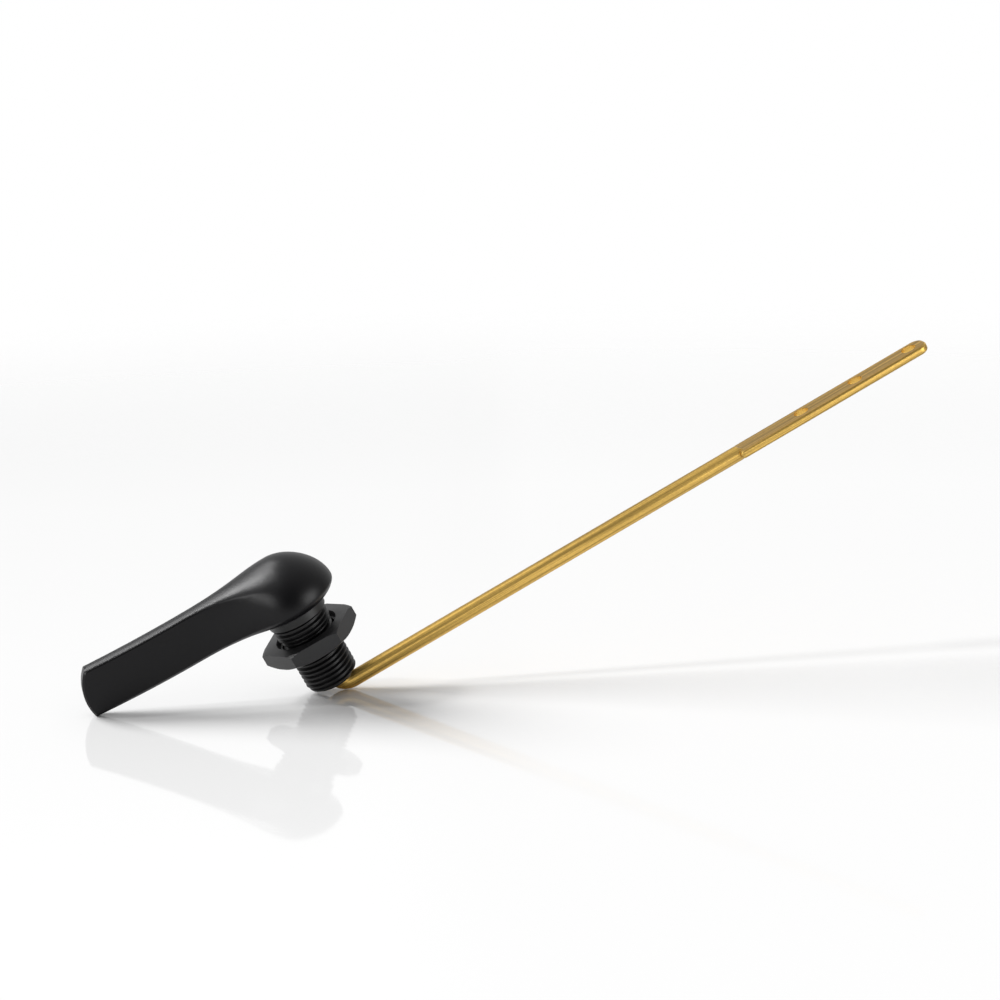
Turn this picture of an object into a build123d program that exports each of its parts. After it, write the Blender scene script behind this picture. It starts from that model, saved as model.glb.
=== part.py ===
from build123d import *
import math
import os

os.makedirs("parts", exist_ok=True)

# Cistern lever. The origin is on the shank axis, in the flange face that bears on the outside
# of the cistern wall. X runs along the lever, Y goes into the cistern and Z is up. Sizes in mm.

# Threaded sleeve
thread_diameter = 16.0
sleeve_length = 26.0
end_taper_length = 2.0
end_taper_depth = 1.2
collar_diameter = 17.2
collar_length = 3.6
flange_diameter = 19.0
flange_thickness = 1.6
mouth_length = 2.4
mouth_flare = 1.4

# Lock nut
nut_across_flats = 25.7
nut_thickness = 4.8
nut_place = 8.2
nut_turn = 1.7
nut_thread_gap = 0.25
nut_lead_in = 1.45
nut_corner_slope = 30.0

# Lift arm
rod_diameter = 4.76
rod_running_gap = 0.05
rod_past_sleeve = 0.6
bend_radius = 5.0
arm_reach = 203.5
flat_length = 66.2
flat_width = 7.8
flat_thickness = 2.55
flat_edge_radius = 0.8
flat_tip_radius = 3.2
flat_root_radius = 1.2
press_slope_length = 1.6
hole_diameter = 4.6
hole_pitch = 19.05
hole_count = 3
last_hole_from_tip = 5.3

# Handle head, round about the shank axis
head_diameter = 29.0
head_crown = 16.8
head_waist = 3.4
head_back = 0.3
head_back_diameter = 21.6
dome_fullness = 0.469
rim_fullness = 0.35
dome_crease_start = 0.45
dome_crease_end = 0.62
socket_depth = 11.5
socket_gap = 0.02
socket_end_gap = 0.3
flange_side_gap = 0.3
flange_end_gap = 0.25

# Handle blade
blade_reach = 64.2
blade_root = 30.0
blade_depth = 14.2
blade_back = 0.45
blade_sweep = 1.5
blade_root_width = 6.0
blade_tip_width = 5.0
blade_edge = 0.8
blade_crown = 0.45
flare_from_blade = 18.5
flare_from_head = 9.0
tip_radius = 14.2
tip_centre_depth = 5.5
tip_corner_radius = 2.0
tip_bevel = 0.6

# Sizes that follow from the ones above
rod_radius = rod_diameter / 2
bore_radius = rod_radius + rod_running_gap
arm_height = sleeve_length + rod_past_sleeve + rod_radius
flat_start = arm_reach - flat_length
press_foot = flat_start + press_slope_length
nut_bore_radius = thread_diameter / 2 + nut_thread_gap
nut_outside = nut_across_flats * 0.6
nut_corner_drop = (nut_outside - nut_across_flats / 2) * math.tan(math.radians(nut_corner_slope))
nut_end = nut_place + nut_thickness
recess_floor = flange_thickness + flange_end_gap
into_cistern = Plane((0, 0, 0), x_dir=(1, 0, 0), z_dir=(0, 1, 0))
arm_plane = into_cistern.offset(arm_height)


# Threaded sleeve: the fixed bush through the cistern wall, moulded with a bearing flange and a
# plain collar. The outside of the thread is drawn as a plain cylinder.
with BuildPart() as threaded_sleeve:
    with BuildSketch(Plane.XY):
        with BuildLine():
            Polyline(
                (bore_radius, -flange_thickness),
                (flange_diameter / 2, -flange_thickness),
                (flange_diameter / 2, 0),
                (collar_diameter / 2, 0),
                (collar_diameter / 2, collar_length),
                (thread_diameter / 2, collar_length),
                (thread_diameter / 2, sleeve_length - end_taper_length),
                (thread_diameter / 2 - end_taper_depth, sleeve_length),
                (bore_radius + mouth_flare, sleeve_length),
                (bore_radius, sleeve_length - mouth_length),
                close=True,
            )
        make_face()
    revolve(axis=Axis.Y)
threaded_sleeve.part.label = "threaded_sleeve"
export_step(threaded_sleeve.part, "parts/threaded_sleeve.step")


# Lock nut: a hexagon moulded in one piece, with turned corners on the cistern side and a wide
# lead-in to its thread on the wall side.
with BuildPart() as lock_nut:
    with BuildSketch(into_cistern.offset(nut_place)):
        RegularPolygon(nut_across_flats / 2, 6, major_radius=False, rotation=nut_turn)
    extrude(amount=nut_thickness)
    with BuildSketch(Plane.XY):
        with BuildLine():
            Polyline(
                (nut_bore_radius + nut_lead_in, nut_place),
                (nut_outside, nut_place),
                (nut_outside, nut_end - nut_corner_drop),
                (nut_across_flats / 2, nut_end),
                (nut_bore_radius, nut_end),
                (nut_bore_radius, nut_place + nut_lead_in),
                close=True,
            )
        make_face()
    revolve(axis=Axis.Y, mode=Mode.INTERSECT)
lock_nut.part.label = "lock_nut"
export_step(lock_nut.part, "parts/lock_nut.step")


# Lift arm: brass rod that turns in the sleeve with the handle, bent square where it leaves the
# sleeve, pressed flat at the far end and drilled for the chain hook.
with BuildPart() as lift_arm:
    with BuildSketch(arm_plane) as flat_outline:
        with Locations(((flat_start + arm_reach) / 2, 0)):
            Rectangle(flat_length, flat_width)
        fillet(flat_outline.vertices().sort_by(Axis.X)[:2], flat_root_radius)
        fillet(flat_outline.vertices().sort_by(Axis.X)[-2:], flat_tip_radius)
    extrude(amount=flat_thickness / 2, both=True)
    fillet(lift_arm.faces().filter_by(Axis.Y).edges(), flat_edge_radius)
    with BuildLine():
        FilletPolyline(
            (0, -socket_depth, 0),
            (0, arm_height, 0),
            (press_foot, arm_height, 0),
            radius=bend_radius,
        )
    with BuildSketch(into_cistern.offset(-socket_depth)):
        Circle(rod_radius)
    sweep()
    # What the press moves out of the way, above and below the flat.
    with BuildSketch(Plane.XY):
        for side in (1, -1):
            with BuildLine():
                Polyline(
                    (flat_start, arm_height + side * rod_radius),
                    (press_foot, arm_height + side * flat_thickness / 2),
                    (press_foot + rod_radius, arm_height + side * flat_thickness / 2),
                    (press_foot + rod_radius, arm_height + side * rod_diameter),
                    (flat_start, arm_height + side * rod_diameter),
                    close=True,
                )
            make_face()
    extrude(amount=rod_diameter, both=True, mode=Mode.SUBTRACT)
    with BuildSketch(arm_plane):
        for step in range(hole_count):
            with Locations((arm_reach - last_hole_from_tip - step * hole_pitch, 0)):
                Circle(hole_diameter / 2)
    extrude(amount=flat_thickness, both=True, mode=Mode.SUBTRACT)
lift_arm.part.label = "lift_arm"
export_step(lift_arm.part, "parts/lift_arm.step")


# Handle: one die casting, a round domed head that flares down into a thin blade. Each
# cross-section has four curves in its upper half, given as (y, z) points: the back edge, the
# side, the crease and the front. The skin between two cross-sections is made of cubic patches.
def between(a, b, share):
    return tuple(p + (q - p) * share for p, q in zip(a, b))


def rounded(start, corner, end, share=0.5523):
    return [start, between(start, corner, share), between(end, corner, share), end]


def straight(start, end):
    return [between(start, end, k / 3) for k in range(4)]


def split(curve, share):
    a = between(curve[0], curve[1], share)
    b = between(curve[1], curve[2], share)
    c = between(curve[2], curve[3], share)
    d = between(a, b, share)
    e = between(b, c, share)
    middle = between(d, e, share)
    return [curve[0], a, d, middle], [middle, e, c, curve[3]]


def stretch(curve, first, last):
    start = split(curve, last)[0]
    return split(start, first / last)[1]


def head_section():
    radius = head_diameter / 2
    waist = (-head_waist, radius)
    crown = (-head_crown, 0)
    corner = (-head_crown, radius)
    dome = [waist, between(waist, corner, dome_fullness), between(crown, corner, dome_fullness), crown]
    return [
        rounded((-head_back, head_back_diameter / 2), (-head_back, radius), waist, rim_fullness),
        stretch(dome, 0, dome_crease_start),
        stretch(dome, dome_crease_start, dome_crease_end),
        stretch(dome, dome_crease_end, 1),
    ]


def blade_section(width, back):
    half = width / 2
    edge = blade_edge
    front = back - blade_depth
    flat = half - edge
    side_start = (back - edge, half)
    side_end = (front + edge, half)
    face_start = (front, flat)
    pull = (front - blade_crown, flat / 2)
    crease_corner = (front + blade_crown * 2 * edge / flat, half)
    crown = (front - blade_crown, 0)
    return [
        straight((back, flat), side_start),
        straight(side_start, side_end),
        rounded(side_end, crease_corner, face_start),
        [face_start, between(face_start, pull, 2 / 3), between(crown, pull, 2 / 3), crown],
    ]


def all_round(upper):
    y, z = upper[0][0]
    back_line = [(y, z * k / 3) for k in (-3, -1, 1, 3)]
    lower = [[(y, -z) for y, z in reversed(curve)] for curve in reversed(upper)]
    return [back_line] + upper + lower


def skin_patch(near, far, places, shares):
    rows = []
    for x, share in zip(places, shares):
        rows.append([(x, *between(p, q, share)) for p, q in zip(near, far)])
    return Face.make_bezier_surface(rows)


def section_face(curves, x):
    edges = [Edge.make_bezier(*[(x, *point) for point in curve]) for curve in curves]
    return Face(Wire(edges))


blade_end = blade_reach + tip_corner_radius
head_curves = all_round(head_section())
root_curves = all_round(blade_section(blade_root_width, -blade_back))
end_curves = all_round(blade_section(blade_tip_width, -blade_back - blade_sweep))
blade_places = [-blade_root - (blade_end - blade_root) * k / 3 for k in range(4)]
flare_places = [-blade_root, flare_from_blade - blade_root, -flare_from_head, 0]
skin = [section_face(end_curves, -blade_end), section_face(head_curves, 0)]
for root_curve, end_curve, head_curve in zip(root_curves, end_curves, head_curves):
    skin.append(skin_patch(root_curve, end_curve, blade_places, (0, 0, 1 / 3, 1)))
    skin.append(skin_patch(root_curve, head_curve, flare_places, (0, 0, 1, 1)))

tip_share = (blade_reach - tip_corner_radius - blade_root) / (blade_end - blade_root)
tip_front = blade_back + blade_depth + blade_crown + blade_sweep * tip_share**2
tip_half = (blade_root_width + (blade_tip_width - blade_root_width) * tip_share**2) / 2
tip_centre = Vector(tip_radius - blade_reach, -tip_centre_depth)
tip_inner = tip_radius - tip_bevel
tip_flat = tip_half - tip_bevel
corner_rise = tip_front - tip_corner_radius - tip_centre_depth
corner_run = math.sqrt((tip_radius - tip_corner_radius) ** 2 - corner_rise**2)
corner_centre = tip_centre - Vector(corner_run, corner_rise)
corner_outward = (corner_centre - tip_centre).normalized()
with BuildPart() as handle:
    add(Solid(Shell(skin)))
    with BuildSketch(Plane.YZ):
        with BuildLine():
            Line((-head_back, 0), (-head_back, head_back_diameter / 2))
            for curve in head_section():
                Bezier(*curve)
            Line((-head_crown, 0), (-head_back, 0))
        make_face()
    revolve(axis=Axis.Y, revolution_arc=180)
    # The end of the blade: an arc about a point in the blade, with its edges bevelled, then the
    # corner between that arc and the front.
    with BuildSketch(Plane(tip_centre, x_dir=(0, 1, 0), z_dir=(1, 0, 0))):
        with BuildLine():
            for side in (1, -1):
                Polyline(
                    (tip_radius, 0),
                    (tip_radius, side * tip_flat),
                    (tip_inner, side * tip_half),
                    (tip_inner, side * head_diameter),
                    (2 * tip_radius, side * head_diameter),
                    (2 * tip_radius, 0),
                )
        make_face()
    revolve(axis=Axis(tip_centre, (0, 0, 1)), revolution_arc=180, mode=Mode.SUBTRACT)
    with BuildSketch(Plane.XY):
        with BuildLine():
            Polyline(
                corner_centre,
                corner_centre + corner_outward * tip_radius,
                corner_centre - Vector(0, tip_radius),
                close=True,
            )
        make_face()
        with Locations(corner_centre):
            Circle(tip_corner_radius, mode=Mode.SUBTRACT)
    extrude(amount=head_diameter, both=True, mode=Mode.SUBTRACT)
    # The recess over the sleeve's flange, and the socket that grips the rod.
    with BuildSketch(into_cistern.offset(-recess_floor)):
        Circle(flange_diameter / 2 + flange_side_gap)
    extrude(amount=recess_floor, mode=Mode.SUBTRACT)
    with BuildSketch(into_cistern.offset(-socket_depth - socket_end_gap)):
        Circle(rod_radius + socket_gap)
    extrude(amount=socket_depth, mode=Mode.SUBTRACT)
handle.part.label = "handle"
export_step(handle.part, "parts/handle.step")
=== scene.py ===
import math

import bmesh
import bpy
from mathutils import Matrix, Vector


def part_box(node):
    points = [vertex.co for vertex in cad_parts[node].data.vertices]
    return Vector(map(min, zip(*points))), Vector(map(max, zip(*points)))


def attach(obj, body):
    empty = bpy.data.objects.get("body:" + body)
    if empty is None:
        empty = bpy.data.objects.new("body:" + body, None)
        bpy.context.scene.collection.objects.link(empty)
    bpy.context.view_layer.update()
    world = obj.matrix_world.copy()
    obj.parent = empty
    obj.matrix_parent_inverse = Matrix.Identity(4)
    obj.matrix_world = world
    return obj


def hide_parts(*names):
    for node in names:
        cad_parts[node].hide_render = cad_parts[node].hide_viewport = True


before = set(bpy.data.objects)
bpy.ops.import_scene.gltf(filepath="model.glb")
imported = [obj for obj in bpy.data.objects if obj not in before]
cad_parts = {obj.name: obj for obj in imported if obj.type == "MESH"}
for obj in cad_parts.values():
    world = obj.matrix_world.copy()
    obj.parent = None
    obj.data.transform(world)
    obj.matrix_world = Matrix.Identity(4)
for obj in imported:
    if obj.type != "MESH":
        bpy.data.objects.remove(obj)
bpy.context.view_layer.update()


# Threaded sleeve: the bush that passes through the cistern wall. It is moulded in one piece from
# black nylon, with a bearing flange, a plain collar, a right-hand thread and a flared bore.
mm = 0.001
sleeve_low, sleeve_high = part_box("threaded_sleeve")
flange_radius = sleeve_high.x
sleeve_end = sleeve_high.y
collar_radius = 9.0 * mm
collar_end = 2.9 * mm
thread_crest = 8.0 * mm
thread_root = 7.1 * mm
thread_pitch = 1.5 * mm
thread_start = 1.7 * mm
thread_end = sleeve_end - 0.8 * mm
thread_steps = 48
swell = 0.5 * mm
swell_start = 6.8 * mm
swell_end = 7.8 * mm
taper_start = 24.0 * mm
end_radius = 6.8 * mm
end_root = end_radius - 0.7 * mm
taper = (thread_crest - end_radius) / (sleeve_end - taper_start)
bore_radius = 2.43 * mm
mouth_radius = 3.83 * mm
mouth_start = 23.6 * mm
body_steps = 96
black_nylon = (0.0025, 0.0025, 0.003, 1)


def turn_outline(mesh, outline, steps):
    """Spins a closed outline of (radius, y) points once round the shank axis."""
    points = [mesh.verts.new((radius, y, 0)) for radius, y in outline]
    sides = [mesh.edges.new(pair) for pair in zip(points, points[1:] + points[:1])]
    bmesh.ops.spin(
        mesh,
        geom=points + sides,
        axis=(0, 1, 0),
        cent=(0, 0, 0),
        angle=math.tau,
        steps=steps,
        use_merge=True,
    )


def soften_edges(mesh, width, segments, sharper_than):
    """Bevels the edges that turn by more than an angle in degrees."""
    limit = math.radians(sharper_than)
    bmesh.ops.bevel(
        mesh,
        geom=[edge for edge in mesh.edges if edge.calc_face_angle(0) > limit],
        offset=width,
        segments=segments,
        affect="EDGES",
        profile=0.5,
        material=-1,
        clamp_overlap=True,
    )


def make_piece(name, mesh, material, body, node, crease=35):
    """Turns a bmesh into a smooth object that stands for a CAD node and rides on its body."""
    for face in mesh.faces:
        face.smooth = True
    for edge in mesh.edges:
        edge.smooth = edge.calc_face_angle(0) < math.radians(crease)
    data = bpy.data.meshes.new(name)
    mesh.to_mesh(data)
    mesh.free()
    data.materials.append(material)
    piece = bpy.data.objects.new(name, data)
    bpy.context.scene.collection.objects.link(piece)
    piece.modifiers.new("even_shading", "WEIGHTED_NORMAL").keep_sharp = True
    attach(piece, body)
    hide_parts(node)
    return piece


def set_inputs(tree, node, inputs):
    """Gives each input a value, or links it to the socket that feeds it."""
    for socket, value in inputs.items():
        if isinstance(value, bpy.types.NodeSocket):
            tree.links.new(value, node.inputs[socket])
        else:
            node.inputs[socket].default_value = value


def add_node(tree, kind, inputs, **settings):
    node = tree.nodes.new(kind)
    for setting, value in settings.items():
        setattr(node, setting, value)
    set_inputs(tree, node, inputs)
    return node


def combine(tree, operation, *values, **settings):
    """Gives the result of a sum on values and sockets."""
    inputs = dict(enumerate(values))
    return add_node(tree, "ShaderNodeMath", inputs, operation=operation, **settings).outputs[0]


def noise(tree, place, scale, detail):
    inputs = {"Vector": place, "Scale": scale, "Detail": detail}
    return add_node(tree, "ShaderNodeTexNoise", inputs).outputs[0]


def tinted(tree, colour, shade):
    """Gives a colour made lighter or darker by a shade."""
    inputs = {0: colour, "Scale": shade}
    return add_node(tree, "ShaderNodeVectorMath", inputs, operation="SCALE").outputs[0]


def bumped(tree, height, strength, depth):
    inputs = {"Height": height, "Strength": strength, "Distance": depth}
    return add_node(tree, "ShaderNodeBump", inputs).outputs[0]


def new_material(name):
    """Gives a new material, its node tree, its surface node and the place on the piece."""
    material = bpy.data.materials.new(name)
    material.use_nodes = True
    tree = material.node_tree
    place = add_node(tree, "ShaderNodeTexCoord", {}).outputs["Object"]
    return material, tree, tree.nodes["Principled BSDF"], place


# Fine grain of a moulded or sprayed surface: small bumps, with slow changes of shade and gloss.
coarse_share = 0.05
noise_middle = 0.5
grain_strength = 0.3
grain = bpy.data.node_groups.new("surface_grain", "ShaderNodeTree")
grain.interface.new_socket("Vector", in_out="INPUT", socket_type="NodeSocketVector")
for name in ("Scale", "Shade Range", "Gloss Range"):
    grain.interface.new_socket(name, in_out="INPUT", socket_type="NodeSocketFloat")
for name in ("Height", "Shade", "Gloss"):
    grain.interface.new_socket(name, in_out="OUTPUT", socket_type="NodeSocketFloat")
grain_in = grain.nodes.new("NodeGroupInput").outputs
coarse_scale = combine(grain, "MULTIPLY", grain_in["Scale"], coarse_share)
coarse = noise(grain, grain_in["Vector"], coarse_scale, detail=3.0)
swing = combine(grain, "SUBTRACT", coarse, noise_middle)
add_node(
    grain,
    "NodeGroupOutput",
    {
        "Height": noise(grain, grain_in["Vector"], grain_in["Scale"], detail=4.0),
        "Shade": combine(grain, "MULTIPLY_ADD", swing, grain_in["Shade Range"], 1.0),
        "Gloss": combine(grain, "MULTIPLY", swing, grain_in["Gloss Range"]),
    },
)


def grained_material(name, colour, shine, roughness, scale, depth, shade_range, gloss_range):
    """Makes a plain material with grain; the depth is the height of its small bumps."""
    material, tree, surface, place = new_material(name)
    inputs = {
        "Vector": place,
        "Scale": scale,
        "Shade Range": shade_range,
        "Gloss Range": gloss_range,
    }
    marks = add_node(tree, "ShaderNodeGroup", inputs, node_tree=grain).outputs
    set_inputs(
        tree,
        surface,
        {
            "Base Color": tinted(tree, colour[:3], marks["Shade"]),
            "Roughness": combine(tree, "ADD", marks["Gloss"], roughness),
            "Normal": bumped(tree, marks["Height"], grain_strength, depth),
            "Specular IOR Level": shine,
        },
    )
    return material


sleeve_mesh = bmesh.new()
turn_outline(
    sleeve_mesh,
    [
        (bore_radius, sleeve_low.y),
        (flange_radius, sleeve_low.y),
        (flange_radius, 0),
        (collar_radius, 0),
        (collar_radius, collar_end),
        (thread_root + swell, collar_end),
        (thread_root + swell, swell_start),
        (thread_root, swell_end),
        (thread_root, taper_start),
        (end_root, sleeve_end),
        (mouth_radius, sleeve_end),
        (bore_radius, mouth_start),
    ],
    body_steps,
)
bmesh.ops.recalc_face_normals(sleeve_mesh, faces=sleeve_mesh.faces)
soften_edges(sleeve_mesh, width=0.18 * mm, segments=2, sharper_than=30)

# The thread is a ridge wound round the core, given from foot to crest by its radius and half its
# width. It is thicker up to where the nut sits, and cut back to the taper at the sleeve's end.
half_ridge = [
    (thread_root - 0.2 * mm, 0.66 * mm),
    (thread_root + 0.05 * mm, 0.52 * mm),
    (thread_crest - 0.08 * mm, 0.20 * mm),
    (thread_crest, 0.10 * mm),
]
ridge = [(radius, thread_start - half) for radius, half in half_ridge]
ridge += [(radius, thread_start + half) for radius, half in reversed(half_ridge)]
core_points = set(sleeve_mesh.verts)
ridge_points = [sleeve_mesh.verts.new((radius, y, 0)) for radius, y in ridge]
ridge_face = sleeve_mesh.faces.new(ridge_points)
turns = (thread_end - thread_start) / thread_pitch
bmesh.ops.spin(
    sleeve_mesh,
    geom=ridge_points + list(ridge_face.edges) + [ridge_face],
    axis=(0, 1, 0),
    cent=(0, 0, 0),
    dvec=(0, thread_pitch / thread_steps, 0),
    angle=math.tau * turns,
    steps=round(thread_steps * turns),
)
for point in sleeve_mesh.verts:
    if point not in core_points:
        reach = math.hypot(point.co.x, point.co.z)
        swollen = min(1, max(0, (swell_end - point.co.y) / (swell_end - swell_start)))
        limit = end_radius + (sleeve_end - point.co.y) * taper
        share = min(reach + swell * swollen, limit) / reach
        point.co.x *= share
        point.co.z *= share
open_edges = [edge for edge in sleeve_mesh.edges if edge.is_boundary]
bmesh.ops.holes_fill(sleeve_mesh, edges=open_edges)
bmesh.ops.recalc_face_normals(sleeve_mesh, faces=sleeve_mesh.faces)
sleeve_material = grained_material(
    "black_nylon",
    black_nylon,
    shine=0.5,
    roughness=0.4,
    scale=2600,
    depth=0.03 * mm,
    shade_range=0.5,
    gloss_range=0.16,
)
sleeve = make_piece(
    "sleeve_moulding", sleeve_mesh, sleeve_material, "sleeve", "threaded_sleeve"
)


# Lock nut: a hexagon that draws the flange against the cistern wall. It is moulded from black
# nylon, with corners turned on both sides, a recess round its bore on the side towards the wall
# and a short ring at the thread's size on the other side.
nut_low, nut_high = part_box("lock_nut")
nut_flats = 25.7 * mm
nut_turn = math.radians(1.7)
nut_thread = 8.04 * mm
nut_thread_start = nut_high.y - 0.8 * mm
nut_bore = 8.55 * mm
recess_floor = nut_bore + 0.7 * mm
recess_mouth = nut_bore + 1.15 * mm
recess_end = nut_low.y + 1.7 * mm
turned_radius = nut_flats / 2 + 0.15 * mm
turned_slope = math.tan(math.radians(30))
wall_side_radius = 13.7 * mm
corner_angle = math.radians(30)
corner_gap = 0.02 * mm
cuts_per_side = 9
nut_black = (0.016, 0.016, 0.0175, 1)

nut_mesh = bmesh.new()
bmesh.ops.create_circle(
    nut_mesh,
    radius=nut_flats / math.sqrt(3),
    segments=6,
    matrix=Matrix.Translation((0, nut_low.y, 0))
    @ Matrix.Rotation(nut_turn + corner_angle, 4, "Y")
    @ Matrix.Rotation(math.radians(90), 4, "X"),
)
bmesh.ops.subdivide_edges(nut_mesh, edges=nut_mesh.edges[:], cuts=cuts_per_side)
for point in nut_mesh.verts:
    point.co.y += max(0, point.co.xz.length - wall_side_radius) * turned_slope
first_ring = nut_mesh.edges[:]


def next_ring(mesh, ring, radius, y):
    """Extrudes a ring of edges to a radius and a y, each fixed or a function of the old radius."""
    made = bmesh.ops.extrude_edge_only(mesh, edges=ring)["geom"]
    for point in (item for item in made if isinstance(item, bmesh.types.BMVert)):
        reach = math.hypot(point.co.x, point.co.z)
        share = (radius(reach) if callable(radius) else radius) / reach
        height = y(reach) if callable(y) else y
        point.co = (point.co.x * share, height, point.co.z * share)
    return [item for item in made if isinstance(item, bmesh.types.BMEdge)]


def same_radius(reach):
    return reach


def turned_y(reach):
    return nut_high.y - max(0, reach - turned_radius) * turned_slope


def far_side(reach):
    return min(reach, turned_radius) - corner_gap


def wall_side(reach):
    return min(reach, wall_side_radius) - corner_gap


ring = first_ring
for radius, y in (
    (same_radius, turned_y),
    (far_side, nut_high.y),
    (nut_thread, nut_high.y),
    (nut_thread, nut_thread_start),
    (nut_bore, nut_thread_start),
    (nut_bore, recess_end),
    (recess_floor, recess_end),
    (recess_mouth, nut_low.y),
):
    ring = next_ring(nut_mesh, ring, radius, y)
wall_ring = next_ring(nut_mesh, first_ring, wall_side, nut_low.y)
bmesh.ops.bridge_loops(nut_mesh, edges=ring + wall_ring)
bmesh.ops.recalc_face_normals(nut_mesh, faces=nut_mesh.faces)
soften_edges(nut_mesh, width=0.25 * mm, segments=3, sharper_than=25)
nut_material = grained_material(
    "moulded_nut",
    nut_black,
    shine=0.5,
    roughness=0.45,
    scale=2200,
    depth=0.03 * mm,
    shade_range=0.4,
    gloss_range=0.14,
)
nut = make_piece("nut_moulding", nut_mesh, nut_material, "nut", "lock_nut")


# Lift arm: the rod that turns with the handle and lifts the flush chain. It is drawn brass, bent
# square where it leaves the sleeve, pressed flat at the far end and drilled for the chain hook.
arm_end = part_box("lift_arm")[1].x
arm_height = 28.98 * mm
flat_start = arm_end - 66.2 * mm
press_slope = 1.5 * mm
half_thickness = 2.55 * mm / 2
half_width = 7.8 * mm / 2
hole_radius = 2.3 * mm
merge_distance = 0.001 * mm
brass = (0.58, 0.38, 0.097, 1)
# Dull brass of handled and pressed places, also used for the painted shade along the pressed
# faces' edges.
dull_and_shaded_brass = (0.34, 0.20, 0.07, 1)
# Brighter colour of the hole walls: fresh-cut brass with a painted reflection.
hole_brass_with_painted_reflection = (0.86, 0.60, 0.17, 1)
brass_roughness = 0.42
dull_roughness = 0.12
hole_roughness = 0.05
face_dulling = 0.25
# How strongly the painted shade darkens and roughens the edges of the pressed faces.
edge_shade_strength = 0.35


def merged_copy(node):
    mesh = bmesh.new()
    mesh.from_mesh(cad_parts[node].data)
    bmesh.ops.remove_doubles(mesh, verts=mesh.verts, dist=merge_distance)
    return mesh


def ramp(tree, value, start, end, low=0.0, high=1.0, curve="LINEAR"):
    """Gives low up to start, high from end on, and a slope or a smooth step between them."""
    inputs = {"Value": value, "From Min": start, "From Max": end, "To Min": low, "To Max": high}
    return add_node(tree, "ShaderNodeMapRange", inputs, interpolation_type=curve).outputs[0]


def stretched_noise(tree, place, scales, detail):
    """Gives noise with its own scale along each axis."""
    inputs = {"Vector": place, "Scale": scales}
    stretched = add_node(tree, "ShaderNodeMapping", inputs).outputs[0]
    return noise(tree, stretched, 1.0, detail)


def mix_values(tree, share, first, second):
    return add_node(tree, "ShaderNodeMix", {0: share, 2: first, 3: second}).outputs[0]


def mix_colours(tree, share, first, second):
    inputs = {0: share, 6: first, 7: second}
    return add_node(tree, "ShaderNodeMix", inputs, data_type="RGBA").outputs[2]


arm_material, tree, surface, place = new_material("drawn_brass")
spot = add_node(tree, "ShaderNodeSeparateXYZ", {0: place}).outputs

# The die leaves lines along the rod, and handling leaves dull clouds.
fine_lines = stretched_noise(tree, place, (25, 3600, 3600), detail=3.0)
broad_lines = stretched_noise(tree, place, (12, 1500, 1500), detail=2.0)
lines = combine(tree, "MULTIPLY", fine_lines, broad_lines)
streaks = ramp(tree, lines, start=0.16, end=0.34, low=0.68, high=1.2)
cloud_noise = noise(tree, place, 900.0, detail=5.0)
clouds = ramp(tree, cloud_noise, start=0.35, end=0.75, high=0.35)

# The press dulls the two broad faces and leaves bands along them. A darker, duller line along
# their edges is painted shade.
past_start = ramp(tree, spot["X"], start=flat_start, end=flat_start + press_slope)
off_middle = combine(tree, "ABSOLUTE", combine(tree, "SUBTRACT", spot["Y"], arm_height))
on_face = ramp(
    tree, off_middle, start=half_thickness - 0.25 * mm, end=half_thickness - 0.05 * mm
)
off_line = combine(tree, "ABSOLUTE", spot["Z"])
near_edge = ramp(tree, off_line, start=half_width - 0.9 * mm, end=half_width - 0.5 * mm)
pressed = combine(tree, "MULTIPLY", past_start, on_face)
# Painted shade along the edges of the pressed faces.
painted_edge_shade = combine(tree, "MULTIPLY", pressed, near_edge)
band_noise = stretched_noise(tree, place, (7, 0, 1300), detail=4.0)
bands = ramp(tree, band_noise, start=0.36, end=0.64, low=0.82, high=1.26)
banded = mix_values(tree, pressed, streaks, combine(tree, "MULTIPLY", streaks, bands))

# The drilled holes are even and smoother. Their walls get a brighter colour: partly fresh-cut
# brass, partly a painted reflection of the white table.
inside = ramp(tree, off_line, start=hole_radius + 0.3 * mm, end=hole_radius + 0.1 * mm)
in_hole = combine(tree, "MULTIPLY", inside, combine(tree, "SUBTRACT", 1.0, on_face))
drilled = combine(tree, "MULTIPLY", past_start, in_hole)
undrilled = combine(tree, "SUBTRACT", 1.0, drilled)

face_dullness = combine(tree, "MULTIPLY_ADD", pressed, face_dulling, clouds)
# Dullness from handling and pressing, plus the painted edge shade.
dullness_and_edge_shade = combine(
    tree, "MULTIPLY_ADD", painted_edge_shade, edge_shade_strength, face_dullness, use_clamp=True
)
worn_and_shaded_brass = mix_colours(tree, dullness_and_edge_shade, brass, dull_and_shaded_brass)
tone = mix_colours(tree, drilled, worn_and_shaded_brass, hole_brass_with_painted_reflection)
shade = mix_values(tree, drilled, banded, 1.0)
worn_roughness = combine(tree, "MULTIPLY_ADD", dullness_and_edge_shade, dull_roughness, brass_roughness)
scores = combine(tree, "MULTIPLY", lines, undrilled)
set_inputs(
    tree,
    surface,
    {
        "Base Color": tinted(tree, tone, shade),
        "Roughness": combine(tree, "MULTIPLY_ADD", drilled, hole_roughness, worn_roughness),
        "Normal": bumped(tree, scores, strength=0.18, depth=0.03 * mm),
        "Metallic": 1.0,
    },
)
arm = make_piece("brass_arm", merged_copy("lift_arm"), arm_material, "lever", "lift_arm")


# Handle: one zinc die casting, a round domed head that runs down into a thin blade. It is finished
# in satin black paint and pressed onto the end of the rod.
handle_black = (0.0042, 0.004, 0.0052, 1)
handle_mesh = merged_copy("handle")
handle_material = grained_material(
    "satin_black_paint",
    handle_black,
    shine=0.25,
    roughness=0.36,
    scale=3000,
    depth=0.012 * mm,
    shade_range=0.3,
    gloss_range=0.06,
)
handle = make_piece(
    "painted_handle", handle_mesh, handle_material, "lever", "handle", crease=40
)


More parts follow.
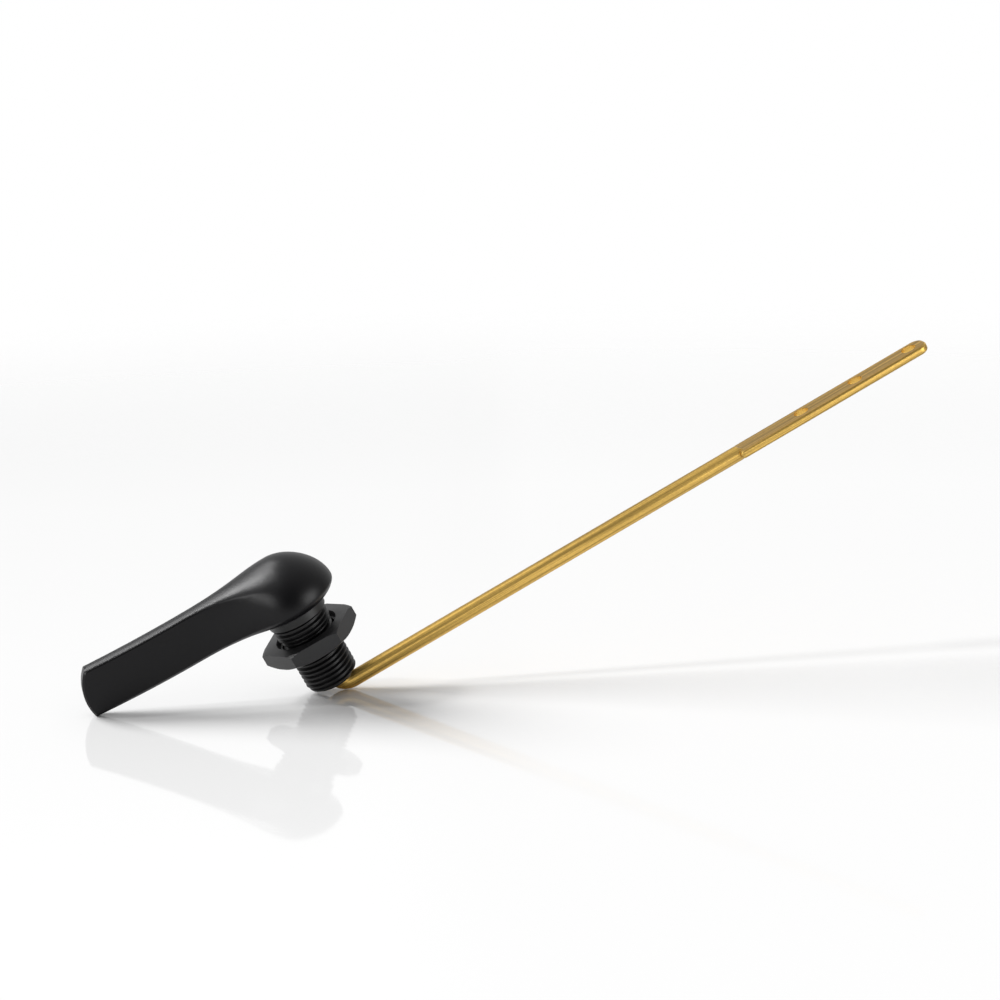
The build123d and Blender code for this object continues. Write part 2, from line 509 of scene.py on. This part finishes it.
# Stage: a pale polished table on which the lever lies, resting on the blade's end and the bend of
# the rod. It mirrors less towards the right, fades into the white backdrop and isn't seen from
# underneath.
up = Vector((0.4426, -0.8940, 0.0703)).normalized()
ahead = Vector((0.0971, 0.3508, 0.9314))
forward = (ahead - ahead.dot(up) * up).normalized()
right = forward.cross(up)
blade_contact = Vector((-63.7, -1.8, -2.5)) * mm
floor_size = 3.0
floor_ior = 1.35
floor_roughness = 0.05
fade_start, fade_end = 0.35, 0.9
mirror_start, mirror_end = 15 * mm, 75 * mm
mirror_left, mirror_right = 0.5, 0.03
white_left, white_right = 0.94, 0.905


def dot(tree, place, direction):
    """Gives how far a place lies along a direction."""
    inputs = {0: place, 1: direction}
    return add_node(tree, "ShaderNodeVectorMath", inputs, operation="DOT_PRODUCT").outputs["Value"]


def smooth_step(tree, value, start, end, low=0.0, high=1.0):
    return ramp(tree, value, start, end, low, high, curve="SMOOTHSTEP")


floor_mesh = bmesh.new()
bmesh.ops.create_grid(
    floor_mesh,
    x_segments=1,
    y_segments=1,
    size=floor_size,
    matrix=Matrix.Translation(blade_contact) @ up.to_track_quat("Z", "Y").to_matrix().to_4x4(),
)
floor_data = bpy.data.meshes.new("table")
floor_mesh.to_mesh(floor_data)
floor_mesh.free()
floor = bpy.data.objects.new("table", floor_data)
bpy.context.scene.collection.objects.link(floor)
floor_material, tree, surface, place = new_material("white_table")
floor_data.materials.append(floor_material)
rightward = dot(tree, place, right)
white = smooth_step(tree, rightward, mirror_start, mirror_end, white_left, white_right)
mirror = smooth_step(tree, rightward, mirror_start, mirror_end, mirror_left, mirror_right)
set_inputs(
    tree,
    surface,
    {
        "Base Color": white,
        "Specular IOR Level": mirror,
        "IOR": floor_ior,
        "Roughness": floor_roughness,
    },
)
away = add_node(tree, "ShaderNodeVectorMath", {0: place}, operation="LENGTH").outputs["Value"]
faded = smooth_step(tree, away, fade_start, fade_end)
from_below = add_node(tree, "ShaderNodeNewGeometry", {}).outputs["Backfacing"]
hidden = combine(tree, "MAXIMUM", faded, from_below)
clear = add_node(tree, "ShaderNodeBsdfTransparent", {}).outputs[0]
mixed = add_node(tree, "ShaderNodeMixShader", {0: hidden, 1: surface.outputs[0], 2: clear})
set_inputs(tree, tree.nodes["Material Output"], {"Surface": mixed.outputs[0]})


# World: a white backdrop for the camera. Shiny surfaces mirror a bright side ahead of the camera
# and a dimmer room behind it, and dull surfaces get a low even light.
backdrop = 1.0
mirrored_backdrop = 0.8
dim_room = 0.02
even_light = 0.33
bright_rise = math.radians(40)
bright_side = (forward + math.tan(bright_rise) * up).normalized()
world = bpy.data.worlds.new("studio")
world.use_nodes = True
bpy.context.scene.world = world
tree = world.node_tree
direction = add_node(tree, "ShaderNodeTexCoord", {}).outputs["Generated"]
toward = dot(tree, direction, bright_side)
height = dot(tree, direction, up)
room = ramp(tree, toward, start=-0.3, end=0.9, low=dim_room, high=mirrored_backdrop)
ground = ramp(tree, height, start=-0.15, end=0.0, low=mirrored_backdrop, high=0.0)
around = combine(tree, "MAXIMUM", room, ground)
ray = add_node(tree, "ShaderNodeLightPath", {}).outputs
mirrored = combine(tree, "MAXIMUM", ray["Is Glossy Ray"], ray["Is Transmission Ray"])
lit = mix_values(tree, mirrored, even_light, around)
seen = mix_values(tree, ray["Is Camera Ray"], lit, backdrop)
set_inputs(tree, tree.nodes["Background"], {"Color": (1, 1, 1, 1), "Strength": seen})


# Lights: a wide lamp at the back left and a small one at the left give the light and the shadows.
# White cards, which only shiny surfaces see, give the handle and the brass their highlights.
lamp_distance = 2.0
card_distance = 1.5


def lamp_direction(turn, rise):
    """Gives the way to a lamp from its angles round the table and above it, in degrees."""
    turn, rise = math.radians(turn), math.radians(rise)
    level = math.sin(turn) * right + math.cos(turn) * forward
    return math.cos(rise) * level + math.sin(rise) * up


def place_light(name, light, direction, distance):
    lamp = bpy.data.objects.new(name, light)
    lamp.visible_camera = False
    lamp.location = direction * distance
    lamp.rotation_euler = direction.to_track_quat("Z", "Y").to_euler()
    bpy.context.scene.collection.objects.link(lamp)
    return lamp


def add_lamp(name, turn, rise, spread, strength):
    light = bpy.data.lights.new(name, "SUN")
    light.angle = math.radians(spread)
    light.energy = strength
    lamp = place_light(name, light, lamp_direction(turn, rise), lamp_distance)
    lamp.visible_glossy = False


def add_card(name, lit_pieces, turn, rise, width, height, brightness):
    """Adds a card that only these pieces mirror; its sizes are angles seen from the lever."""
    light = bpy.data.lights.new(name, "AREA")
    light.shape = "RECTANGLE"
    light.size = 2 * card_distance * math.tan(math.radians(width / 2))
    light.size_y = 2 * card_distance * math.tan(math.radians(height / 2))
    light.energy = brightness * math.pi * light.size * light.size_y
    direction = lamp_direction(turn, rise)
    card = place_light(name, light, direction, card_distance)
    level = up.cross(direction).normalized()
    axes = Matrix((level, direction.cross(level), direction)).transposed()
    card.rotation_euler = axes.to_euler()
    card.visible_diffuse = False
    card.light_linking.receiver_collection = bpy.data.collections.new(name)
    for piece in lit_pieces:
        card.light_linking.receiver_collection.objects.link(piece)


black_pieces = [sleeve, nut, handle]
all_pieces = black_pieces + [arm]
add_lamp("back_left", turn=-60, rise=36, spread=34, strength=3.42)
add_lamp("left", turn=-90, rise=44, spread=7, strength=0.6)
add_card("high_card", black_pieces, turn=-92, rise=49, width=14, height=14, brightness=35)
add_card("wide_card", black_pieces, turn=-66, rise=56, width=36, height=20, brightness=7)
add_card("left_strip", all_pieces, turn=-133, rise=12, width=22, height=28, brightness=7)
add_card("right_strip", all_pieces, turn=122, rise=12, width=32, height=32, brightness=5)
add_card("brass_top", [arm], turn=-92, rise=64, width=44, height=26, brightness=1.4)
add_card("brass_low", [arm], turn=172, rise=6, width=50, height=16, brightness=1.55)
add_card("brass_fill", [arm], turn=176, rise=30, width=90, height=60, brightness=0.25)


# Camera: a long lens that looks at the lever from a little above the table, with the handle
# towards the left and the arm rising to the right.
camera_data = bpy.data.cameras.new("camera")
camera_data.sensor_width = 36.0
camera_data.lens = 86.4
camera = bpy.data.objects.new("camera", camera_data)
camera.location = (-0.00034, -0.24221, -0.65283)
camera.rotation_euler = [math.radians(angle) for angle in (164.464, 14.825, 27.149)]
bpy.context.scene.collection.objects.link(camera)
bpy.context.scene.camera = camera
bpy.context.scene.view_settings.view_transform = "Standard"

bpy.context.view_layer.update()
